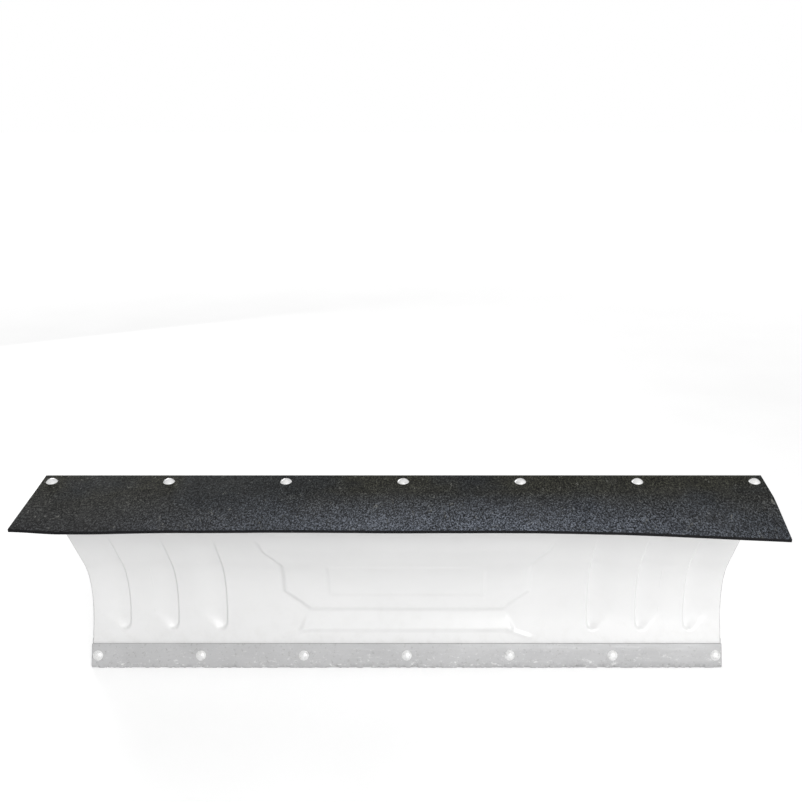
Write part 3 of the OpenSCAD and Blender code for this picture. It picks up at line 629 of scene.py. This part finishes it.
def pressing(x, z):
    """Height of the stamped relief at places on the blade's front: a raised panel with a plain pad, a
    sloping ledge below it with a ridge at each end, a raised top strip, and recessed flutes."""
    side = np.abs(x)
    panel_low_z, panel_high_z = PANEL[0][1], PANEL[-1][1]
    panel = outline_depth(side, z, [(-400, panel_low_z)] + PANEL + [(-400, panel_high_z)])
    height = PRESS_H * smooth(panel / 11) * (1 - smooth((z - 290) / 50))
    pad = np.minimum(PAD_HALF - side, np.minimum(z - PAD_LOW_Z, PAD_HIGH_Z - z))
    height += PAD_H * smooth((pad + 3) / 6)
    below = panel_low_z - z
    ledge_end = LEDGE_HALF + 0.4 * below
    ledge = np.clip(below / (panel_low_z - LEDGE_LOW_Z), 0, 1) * (1 - smooth((LEDGE_LOW_Z - z) / 5))
    height += LEDGE_H * ledge * (1 - smooth((side - ledge_end) / 9))
    height += RIDGE_H * (1 - smooth(line_distance(side, z, RIDGE) / 6))
    height += STRIP_H * smooth((z - STRIP_Z) / 6)
    radius = FLUTE_CORNER_R
    for edge in FLUTE_X:
        out, up = side - edge, z - FLUTE_FOOT_Z
        cx, cz = radius - out, radius - up
        corner = np.hypot(np.maximum(cx, 0), np.maximum(cz, 0)) + np.minimum(np.maximum(cx, cz), 0)
        foot = smooth((up - 2) / 42)
        flute = smooth((radius - corner) / 5.5) * (1 - smooth((out - 4 - 10 * foot) / (26 + 32 * foot)))
        depth = PRESS_H * (1 - 0.3 * smooth((z - 235) / 30)) * (1 - smooth((z - 285) / 60))
        height -= depth * flute
    return height


def blade_sheet():
    """The whole pressed sheet with its bends, as one closed surface."""
    rows = graded([(SHEET_START, 3.4), (arc_length_at(358), 11.0), (S_BEND - 12, 3.0), (S_BEND, 0.9),
                   (S_FLANGE, 6.0)], S_END)
    inner = graded([(0, 7.0), (158, 3.2), (176, 6.0), (200, 3.2), (322, 7.0), (386, 1.5), (404, 6.0),
                    (492, 1.5), (510, 6.0), (597, 1.5), (615, 6.0)], BLADE_HALF - END_CORNER_R)
    cols = mirrored(inner)
    y, z, ny, nz = front_face(rows)
    x = np.broadcast_to(cols, (len(rows), len(cols)))
    lift = pressing(x, np.broadcast_to(z[:, None], x.shape))
    flat = np.stack([x, y[:, None] + lift * ny[:, None], z[:, None] + lift * nz[:, None]], 2)

    # End flanges: the outer columns turn back round a small corner between two heights
    turn = np.linspace(0, math.pi / 2, 6)[1:]
    run = np.linspace(0, END_FLANGE_D - END_CORNER_R, 4)[1:]
    out = np.concatenate([np.sin(turn) * END_CORNER_R, np.full(3, END_CORNER_R)])
    deep = np.concatenate([(1 - np.cos(turn)) * END_CORNER_R, END_CORNER_R + run])
    spread = np.linspace(0, END_CORNER_R, len(out) + 1)[1:]
    start, end = arc_length_at(57), S_BEND - 8
    share = smooth((rows - start) / 7) * (1 - smooth((rows - end + 8) / 7))
    offset = spread + (out - spread) * share[:, None]
    depth = deep * share[:, None]
    wrap_x = BLADE_HALF - END_CORNER_R + offset
    wrap_y = y[:, None] - depth * ny[:, None]
    wrap_z = z[:, None] - depth * nz[:, None]
    right = np.stack([wrap_x, wrap_y, wrap_z], 2)
    left = np.stack([-wrap_x, wrap_y, wrap_z], 2)[:, ::-1]
    front = np.concatenate([left, flat, right], 1)
    return shell(front, behind(front, SHEET_T))


# ---------- flap ----------

def flap_droop(x, u):
    """How far the flap hangs below flat: it sags to the right and lifts a little at the left tip."""
    reach = np.clip((-u - FLEX_U) / (FLAP_LEN - FLANGE_W - FLEX_U), 0, 1)
    reach = reach * smooth(reach * 7 + 0.12)
    sag = FLAP_SAG * np.clip((x - SAG_START_X) / (FLAP_HALF - SAG_START_X), 0, 1) ** 1.45
    bent = np.clip((reach - 0.22) / 0.78, 0, 1) ** 1.15
    lift = -4.5 * smooth((-x - 600) / 92) + 2.2 * smooth((-x - 380) / 180)
    wave = 0.5 * np.sin(x / 108 + 0.7) + 0.25 * np.sin(x / 47 + 2.1)
    return bent * sag + reach * lift + reach ** 1.6 * wave


def flap_sheet():
    """One sheet of rubber from the flange to its free front edge."""
    us = graded([(-(FLAP_LEN - FLANGE_W), 1.5), (-150, 6.0), (-30, 2.5), (8, 6.0),
                 (FLANGE_W - 6, 2.0)], FLANGE_W)
    xs = graded([(-FLAP_HALF, 2.0), (-FLAP_HALF + 8, 9.0), (FLAP_HALF - 8, 2.0)], FLAP_HALF)
    x, u = np.meshgrid(xs, us)
    low = BEND_OUT + FLAP_GAP
    flat = np.stack([x, u, np.full(x.shape, low + FLAP_T)], 2)
    uneven = lumps(flat.reshape(-1, 3), 60, 3).reshape(x.shape)
    drop = flap_droop(x, u) - 0.35 * uneven * np.clip(-u / 60, 0, 1)
    place = np.array(on_flange(0, 0, 0))
    grids = []
    for height in (low + FLAP_T, low):
        local = np.stack([x, u, height - drop], 2)
        grids.append(local @ place[:3, :3].T + place[:3, 3])
    return shell(grids[0], grids[1])


# ---------- wear bar ----------

def wear_bar():
    """Flat bar with rounded corners, a level worn sole and a ragged front lower edge."""
    xs = graded([(-BLADE_HALF, 0.6), (-BLADE_HALF + 1.8, 2.6), (BLADE_HALF - 1.8, 0.6)], BLADE_HALF)
    back, top, r = -FLAP_GAP, BAR_H, 0.9
    lean = math.tan(LOWER_LEAN)
    places = [(x, 0, 0) for x in xs]
    wear = 0.8 + 0.9 * lumps(places, 26, 5) + 0.8 * lumps(places, 7, 6) + 0.4 * lumps(places, 3.1, 9)
    wear = np.clip(wear, 0.15, 2.6)
    chips = np.clip(0.9 * lumps(places, 12, 8), 0, 1)
    notches = np.clip(13.0 * lumps(places, 11, 12) + 9.0 * lumps(places, 4.3, 13) - 0.6, 0, 5.2)
    points = []
    for x, w, chip, notch in zip(xs, wear, chips, notches):
        end = min(1.0, (BLADE_HALF - abs(x)) / 1.8)
        inset = 0.9 * (1 - math.sqrt(max(0.0, 1 - (1 - end) ** 2)))
        sole_front, sole_back = -BAR_T * lean + notch, back * lean + notch
        ring = [
            (-BAR_T + inset, top - r), (-BAR_T + 0.3 * r + inset, top - 0.3 * r), (-BAR_T + r, top - inset),
            (back - r, top - inset), (back - 0.3 * r - inset, top - 0.3 * r), (back - inset, top - r),
            (back - inset, 12), (back - inset, sole_back + 0.9), (back - 1.0, sole_back - lean + 0.05),
            (-3.2, -3.2 * lean + 0.05), (-BAR_T + 1.6 + chip, sole_front + 0.5 + 0.4 * w),
            (-BAR_T + 0.5 * w + 0.2 + inset, sole_front + 0.9 + w),
            (-BAR_T + inset, sole_front + 2.2 + 1.6 * w), (-BAR_T + inset, 14), (-BAR_T + inset, 32),
        ]
        points += [(x, d, h) for d, h in ring]
    sides, count = len(ring), len(xs)
    faces = []
    for i in range(count - 1):
        for k in range(sides):
            m = (k + 1) % sides
            faces.append((i * sides + k, i * sides + m, (i + 1) * sides + m, (i + 1) * sides + k))
    faces.append(tuple(reversed(range(sides))))
    faces.append(tuple(range((count - 1) * sides, count * sides)))
    m = np.array(on_slope(0, 0, 0))
    return np.asarray(points) @ m[:3, :3].T + m[:3, 3], faces


# ---------- fasteners ----------

BOLT_R = 4.76
THREAD = 1.5875
THREAD_SIDES = 20


def threaded(low, high):
    """Threaded rod from low to high, with a chamfered lower end."""
    depth = 0.55 * THREAD
    count = int((high - low) / THREAD * 4)
    profile = []
    for i in range(count + 1):
        z = low + (high - low) * i / count
        room = min(1.0, (z - low) / 1.2)

        def edge(a, z=z, room=room):
            phase = (z / THREAD - a / (2 * math.pi)) % 1
            return BOLT_R - depth * abs(2 * phase - 1) - 0.9 * (1 - room)

        profile.append((edge, z))
    return lathe(profile, THREAD_SIDES)


def carriage_bolt(length, head_h):
    """Domed bolt with a square neck; the head's underside is at 0 and the shank points down."""
    head_r, neck = 11.0, 4.76
    dome_r = (head_r ** 2 + head_h ** 2) / (2 * head_h)
    profile = [(neck, -0.1), (head_r - 0.5, 0.0), (head_r - 0.08, 0.35)]
    for i in range(1, 9):
        r = (head_r - 0.08) * math.cos(i / 9 * math.pi / 2)
        z = head_h - dome_r + math.sqrt(dome_r ** 2 - r ** 2)
        profile.append((r, max(z, 0.36 + 0.02 * i)))
    made = Build()
    made.add(lathe(profile, 36))

    def square(a):
        return neck / max(abs(math.cos(a)), abs(math.sin(a)))

    made.add(lathe([(square, -4.7), (square, 0.0)], 40))
    made.add(threaded(-length, -4.6))
    return made.surface()


def flange_nut():
    """Hexagon flange nut standing on 0, with chamfered corners."""
    half_flats, height = 7.15, 8.2

    def hexagon(z, spread=0.0):
        def radius(a):
            nearest = (a % (math.pi / 3)) - math.pi / 6
            cone = half_flats * 1.155 - max(0.0, z - height + 1.3) * 1.1
            return min(half_flats / math.cos(nearest), cone) + spread
        return radius

    bore = BOLT_R - 0.2
    profile = [(bore, 0.2), (bore + 0.5, 0), (9.6, 0), (10, 0.4), (10, 1.1), (9.5, 1.7),
               (hexagon(0, 0.35), 2.1), (hexagon(0), 2.6)]
    profile += [(hexagon(z), z) for z in np.linspace(height - 1.7, height - 0.05, 6)]
    profile += [(bore + 1.2, height), (bore + 0.5, height - 0.2), (bore, height - 0.8)]
    return lathe(profile, 72, ring=True)


def repeat(surface, places):
    made = Build()
    for place in places:
        made.add(surface, place)
    return made.surface()


# ---------- springs ----------

def spring_wire(length):
    """Path of a trip spring along Z, from the hook round 0 to the hook round length."""
    per_turn, hook_turn, steps, lead = 22, 262, 18, 3
    path = []
    for i in range(steps + 1):
        a = math.radians(-hook_turn + hook_turn * i / steps)
        path.append((0, HOOK_R * math.cos(a), HOOK_R * math.sin(a)))
    for i in range(1, 7):
        t = i / 7
        path.append((0, HOOK_R + (COIL_R - HOOK_R) * float(smooth(t)), (COIL_START - lead) * t))
    for i in range(COIL_TURNS * per_turn + 1):
        a = math.pi / 2 + 2 * math.pi * i / per_turn
        path.append((COIL_R * math.cos(a), COIL_R * math.sin(a), COIL_START + COIL_PITCH * i / per_turn))
    top = COIL_START + COIL_PITCH * COIL_TURNS + lead
    upper_r = HOOK_R - 0.2
    for i in range(1, 7):
        t = i / 7
        path.append((0, COIL_R + (upper_r - COIL_R) * float(smooth(t)), top + (length - top) * t))
    for i in range(steps + 1):
        a = math.radians(hook_turn * i / steps)
        path.append((0, upper_r * math.cos(a), length + upper_r * math.sin(a)))
    return path


def trip_spring(side):
    """One trip spring, from the anchor pin to the eye bolt."""
    axis = SPRING_HIGH - SPRING_LOW
    tilt = math.atan2(axis.z, axis.y) - math.pi / 2
    wire = spring_wire(axis.length)
    place = Matrix.Translation((side * SPRING_X, SPRING_LOW.y, SPRING_LOW.z)) @ Matrix.Rotation(tilt, 4, "X")
    made = Build()
    made.add(sweep(wire, SPRING_WIRE_R, 9), place)
    coil_top = COIL_START + COIL_PITCH * COIL_TURNS
    start, end = place @ Vector((0, 0, COIL_START - 1.5)), place @ Vector((0, 0, coil_top + 3.5))
    return made.surface(), start * MM, end * MM


def lock_spring_wire(low, high, x, y):
    turns, per_turn = 6, 24
    path = []
    for i in range(turns * per_turn + 1):
        share = i / (turns * per_turn)
        a = 2 * math.pi * i / per_turn
        squeezed = share + 0.035 * math.sin(2 * math.pi * share)
        height = low + (high - low) * squeezed
        path.append((x + LOCK_COIL_R * math.cos(a), y + LOCK_COIL_R * math.sin(a), height))
    return path


# ---------- weld seams ----------

def rib_welds():
    """Stitches between each rib, the sheet and the cross tube."""
    # For each kind of rib: the X of its inner face, and the lower and upper Z of its stitches
    pivot = (96, 124), ((66, 108), (305, 333))
    middle = (MID_RIB_X - RIB_T / 2,), ((72, 128), (176, 232), (288, 333))
    outer = (550,), ((68, 124), (172, 228), (288, 333))
    faces = [(int(x + t), spans) for inner, spans in (pivot, middle, outer)
             for x in inner for t in (0, RIB_T)]
    low, high = node_box("cross_tube")
    made = Build()
    for face, stitches in faces:
        for side in (-1, 1):
            x = side * face
            for number, (z0, z1) in enumerate(stitches):
                s = np.linspace(arc_length_at(z0), arc_length_at(z1), int((z1 - z0) / 1.3))
                y, z, ny, nz = front_face(s)
                rear = SHEET_T + 0.6
                path = np.stack([np.full(len(s), x), y - rear * ny, z - rear * nz], 1)
                made.add(weld(path, 2.4, face + number * 7 + side))
            loop = straight((x, low.y + 4, low.z), (x, high.y, low.z))
            loop += straight((x, high.y, low.z), (x, high.y, high.z))[1:]
            loop += straight((x, high.y, high.z), (x, low.y + 4, high.z))[1:]
            made.add(weld(loop, 2.1, face + side * 3))
    return made.surface()


def angle_welds():
    """Short stitches along the upper edge of the bottom angle."""
    made = Build()
    top = node_box("bottom_angle")[1].z
    for number, x in enumerate(np.arange(-640, 641, 160)):
        if abs(abs(x) - MID_RIB_X) < 20:
            x += 24
        place = on_slope(0, SHEET_T + 0.5, 0)
        up = (top - 0.2) / math.cos(LOWER_LEAN)
        path = [place @ Vector(p) for p in straight((x - 22, 0, up), (x + 22, 0, up))]
        made.add(weld(path, 2.3, 40 + number))
    return made.surface()


def frame_welds():
    """Seams of the swivel frame: crossbar and plates to the cheeks."""
    bar_low, bar_high = node_box("stop_crossbar")
    made = Build()
    x = bar_high.x
    for side in (-1, 1):
        corners = [(bar_low.y, bar_low.z), (bar_high.y, bar_low.z),
                   (bar_high.y, bar_high.z), (bar_low.y, bar_high.z)]
        for k in range(4):
            a, b = corners[k], corners[(k + 1) % 4]
            made.add(weld(straight((side * x, *a), (side * x, *b)), 2.2, 60 + k + side))
        for node in ("sector_plate", "lower_plate"):
            low, high = node_box(node)
            for number, z in enumerate((low.z, high.z)):
                for y0, y1 in ((154, 184), (194, 224)):
                    seam = straight((side * x, y0, z), (side * x, y1, z))
                    made.add(weld(seam, 2.2, 70 + number + y0 + side))
    return made.surface()


def head_welds():
    """Seams of the push-tube head: barrel, arm, flange, gussets and lock bracket."""
    low, high = node_box("head_arm")
    king_y, flange_y = low.y, node_box("head_flange")[0].y
    barrel_r = node_box("head_barrel")[1].x
    made = Build()
    for z in (low.z, high.z):
        arc = [(barrel_r * math.cos(a), king_y + barrel_r * math.sin(a), z)
               for a in np.linspace(0.12, math.pi - 0.12, 60)]
        made.add(weld(arc, 2.3, 90))
    for side in (-1, 1):
        x = side * high.x
        made.add(weld(straight((x, king_y + 1, low.z), (x, king_y + 1, high.z)), 2.2, 91 + side))
        made.add(weld(straight((x, flange_y, low.z), (x, flange_y, high.z)), 2.8, 93 + side))
        gusset_low, gusset_high = node_box("head_gussets")
        for z in (gusset_low.z, gusset_high.z):
            made.add(weld(straight((x, flange_y - 78, z), (x, flange_y - 3, z)), 2.0, 95 + side))
            edge_x = side * (gusset_high.x - 2)
            made.add(weld(straight((x, flange_y, z), (edge_x, flange_y, z)), 2.0, 97 + side))
    for z in (low.z, high.z):
        made.add(weld(straight((low.x, flange_y, z), (high.x, flange_y, z)), 2.8, 99))
    bracket_low, bracket_high = node_box("lock_bracket")
    for y in (bracket_high.y - 6, bracket_high.y):
        made.add(weld(straight((bracket_low.x, y, high.z), (bracket_high.x, y, high.z)), 2.0, 101 + int(y)))
    return made.surface()


# ---------- the pieces ----------

sheet = new_piece("blade_sheet", blade_sheet(), FINISH["blade_paint"], "blade", 40)
soften(sheet, 0.45, 2, 60)
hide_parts("moldboard")

flap = new_piece("snow_flap", flap_sheet(), FINISH["flap_rubber"], None, 40)
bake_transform(flap)
soften(flap, 0.9, 3, 50)
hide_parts("flap_margin", "flap_apron")

bar = new_piece("wear_bar_worn", wear_bar(), FINISH["wear_steel"], "blade", 50)
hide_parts("wear_bar")

FASTENERS = (
    ("wear_bar_bolts", carriage_bolt(30, 5.0),
     [on_slope(x, -BAR_T, BAR_H / 2) @ turned("X", 90) for x in BOLT_XS]),
    ("wear_bar_nuts", flange_nut(),
     [on_slope(x, SHEET_T + ANGLE_T, BAR_H / 2) @ turned("X", -90) for x in BOLT_XS]),
    ("flap_bolts", carriage_bolt(25.4, 6.2),
     [on_flange(x, FLAP_BOLT_U, BEND_OUT + FLAP_GAP + FLAP_T) for x in BOLT_XS]),
    ("flap_nuts", flange_nut(), [on_flange(x, FLAP_BOLT_U, NUT_SEAT) @ turned("X", 180) for x in BOLT_XS]),
    ("skid_clamp_bolts", carriage_bolt(31, 5.0),
     [side @ Matrix.Translation((CLAMP_X, CLAMP_Y, z)) @ turned("Y", -90)
      for side in BOTH_SIDES for z in CLAMP_ZS]),
)
for node, surface, places in FASTENERS:
    turns = np.random.default_rng(len(node)).uniform(0, 360, len(places))
    spun = [p @ turned("Z", a if "nut" in node else 0) for p, a in zip(places, turns)]
    piece = new_piece(node + "_detail", repeat(surface, spun), FINISH["zinc_steel"], "blade", 32)
    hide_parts(node)

for side, label in ((-1, "left"), (1, "right")):
    surface, start, end = trip_spring(side)
    piece = new_piece("coil_spring_" + label, surface, FINISH["spring_steel"])
    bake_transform(piece)
    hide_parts("trip_spring_" + label, "spring_hook_" + label)

spring_low, spring_high = node_box("lock_spring")
centre = (spring_low + spring_high) / 2
path = lock_spring_wire(spring_low.z + LOCK_WIRE_R, spring_high.z - LOCK_WIRE_R, centre.x, centre.y)
piece = new_piece("lock_coil", sweep(path, LOCK_WIRE_R, 8), FINISH["spring_steel"])
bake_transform(piece)
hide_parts("lock_spring")

for name, surface, body, slot in (
    ("rib_welds", rib_welds(), "blade", "blade_paint"),
    ("angle_welds", angle_welds(), "blade", "blade_paint"),
    ("frame_welds", frame_welds(), "swivel_frame", "frame_paint"),
    ("head_welds", head_welds(), "head", "frame_paint"),
):
    new_piece(name, surface, FINISH[slot], body, 60)

# CAD nodes that stay get their finish and softened edges
EDGE_WIDTH = {"frame_paint": 0.8, "blade_paint": 0.7, "skid_steel": 0.8, "zinc_steel": 0.35,
              "bumper_rubber": 1.6, "plug_plastic": 1.0}
for name, obj in nodes.items():
    if obj.hide_render:
        continue
    slot = SLOT_OF[name]
    obj.material_slots[0].material = FINISH[slot]
    obj.data.polygons.foreach_set("use_smooth", [True] * len(obj.data.polygons))
    for attribute in ("custom_normal", "sharp_edge", "sharp_face"):
        if attribute in obj.data.attributes:
            obj.data.attributes.remove(obj.data.attributes[attribute])
    weld_points = obj.modifiers.new("weld_points", "WELD")
    weld_points.merge_threshold = 0.00001
    flat_faces = obj.modifiers.new("flat_faces", "DECIMATE")
    flat_faces.decimate_type = "DISSOLVE"
    flat_faces.angle_limit = math.radians(0.6)
    soften(obj, EDGE_WIDTH[slot], 2, 32)
    obj.modifiers.new("face_normals", "WEIGHTED_NORMAL").keep_sharp = True


# ---------- floor, light and camera ----------

def floor():
    """Wide pale floor that the camera sees brighten into the white background far away."""
    s = Surface("floor")
    colour = s.ramp(s.noise(3, 4), (0.3, 0.86), (0.7, 0.89))
    seen = s.node("ShaderNodeLightPath").outputs["Is Camera Ray"]
    away = s.node("ShaderNodeVectorMath", Vector=s.here)
    away.operation = "LENGTH"
    fade = s.node("ShaderNodeMapRange", Value=away.outputs["Value"], From_Min=2.5, From_Max=9.0,
                  To_Min=0.31, To_Max=0.7)
    glow = s.math("MULTIPLY", seen, fade.outputs["Result"])
    mesh = bpy.data.meshes.new("floor")
    far = 30.0
    mesh.from_pydata([(-far, -far, 0), (far, -far, 0), (far, far, 0), (-far, far, 0)], [], [(0, 1, 2, 3)])
    material = s.finish(Base_Color=colour, Roughness=0.85, Emission_Color=1.0, Emission_Strength=glow)
    mesh.materials.append(material)
    obj = bpy.data.objects.new("floor", mesh)
    scene.collection.objects.link(obj)


def lamp(name, place, target, size, power):
    data = bpy.data.lights.new(name, "AREA")
    data.shape = "RECTANGLE"
    data.size, data.size_y = size
    data.energy = power
    obj = bpy.data.objects.new(name, data)
    obj.location = place
    obj.rotation_euler = (Vector(target) - Vector(place)).to_track_quat("-Z", "Y").to_euler()
    scene.collection.objects.link(obj)


def sky(strength):
    """Even white light that the camera sees as plain white."""
    world = bpy.data.worlds.new("sky")
    world.use_nodes = True
    tree = world.node_tree
    seen = tree.nodes.new("ShaderNodeLightPath").outputs["Is Camera Ray"]
    level = tree.nodes.new("ShaderNodeMapRange")
    level.inputs["To Min"].default_value = strength
    tree.links.new(seen, level.inputs["Value"])
    tree.links.new(level.outputs["Result"], tree.nodes["Background"].inputs["Strength"])
    tree.nodes["Background"].inputs["Color"].default_value = (1, 1, 1, 1)
    scene.world = world


floor()
sky(0.62)

# Metres and watts; the key light comes from the front right, the other lights the back
lamp("key", (1.15, -3.25, 1.6), (0, 0, 0.2), (1.2, 0.9), 67)
lamp("rear_side", (-1.7, 2.9, 1.1), (0, 0.1, 0.2), (1.2, 1.0), 34)
scene.view_settings.view_transform = "Standard"

# The photo's view: low tilt from the front, with the picture shifted to frame the whole blade
camera = bpy.data.cameras.new("camera")
camera.lens = 47.5
camera.sensor_width = 36.0
camera.shift_x = -0.0386
camera.shift_y = -0.0368
camera_object = bpy.data.objects.new("camera", camera)
camera_object.location = (0.055, -2.061, 1.2135)
camera_object.rotation_euler = (math.radians(90 - 14.83), 0, 0)
scene.collection.objects.link(camera_object)
scene.camera = camera_object
